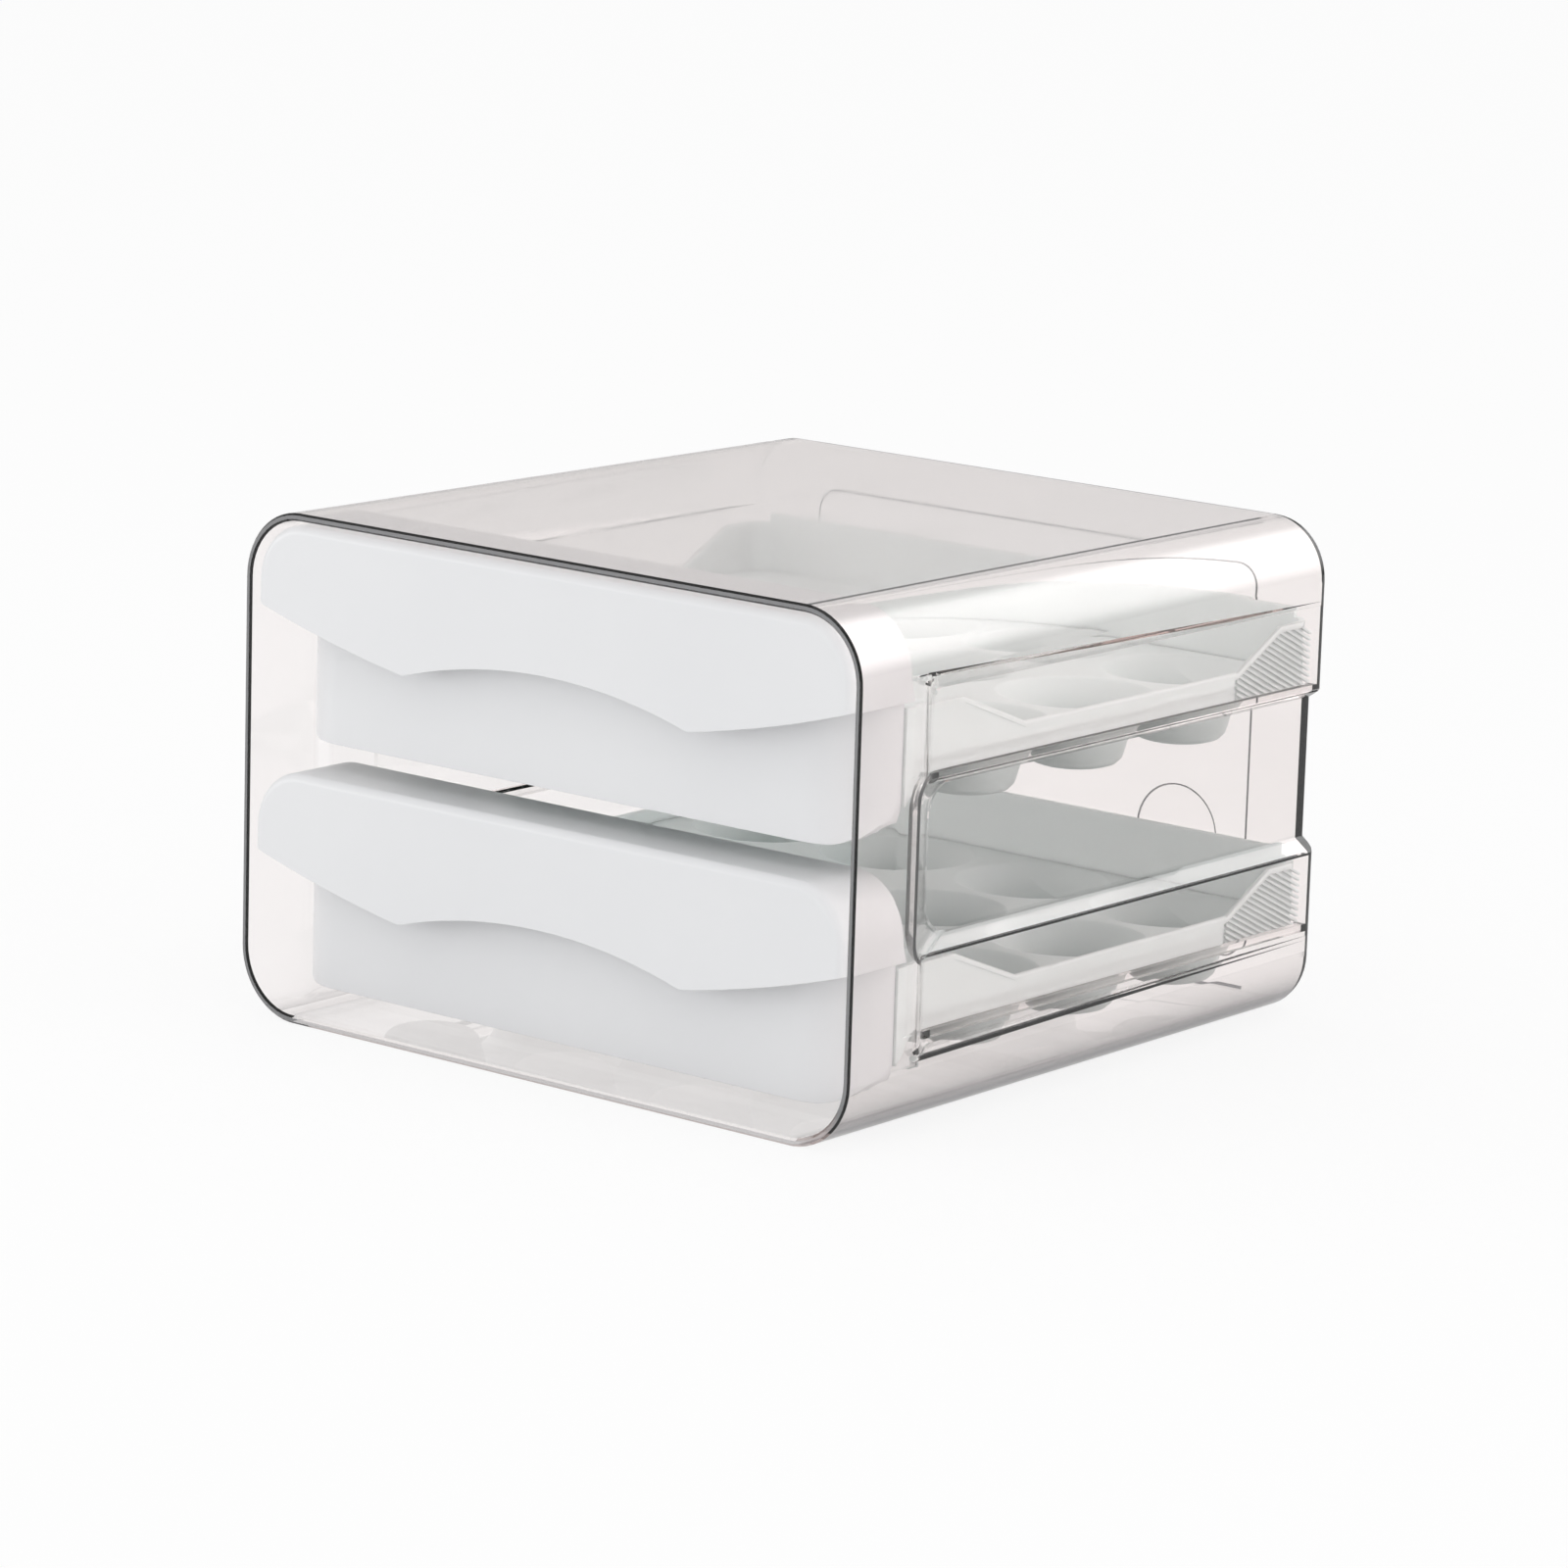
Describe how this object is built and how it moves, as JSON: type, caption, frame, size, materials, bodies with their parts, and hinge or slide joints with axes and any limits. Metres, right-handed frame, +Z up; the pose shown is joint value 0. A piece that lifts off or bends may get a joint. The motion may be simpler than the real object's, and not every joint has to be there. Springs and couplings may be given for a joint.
{
  "type": "egg storage drawer",
  "caption": "Clear fridge box with stacked pull-out egg trays of dished cups, each tray with a white front whose waved lip is the finger grip.",
  "frame": {"origin": "middle of the case's underside, on the surface that it stands on", "axes": "+X to the right seen from the front, +Y from the open front to the back, +Z up"},
  "size_m": [0.22, 0.219, 0.1453],
  "materials": {
    "clear_case": "polished clear moulding",
    "tray": "smooth pale grey-green moulding",
    "white_front": "smooth satin white moulding"
  },
  "bodies": {
    "case": {"case_shell": "clear_case"},
    "upper_drawer": {"upper_tray": "tray", "upper_front": "white_front"},
    "lower_drawer": {"lower_tray": "tray", "lower_front": "white_front"}
  },
  "joints": [
    {"name": "upper_slide", "type": "slide", "parent": "case", "child": "upper_drawer", "axis": [0, -1, 0], "range_m": [0, 0.17]},
    {"name": "lower_slide", "type": "slide", "parent": "case", "child": "lower_drawer", "axis": [0, -1, 0], "range_m": [0, 0.17]}
  ]
}
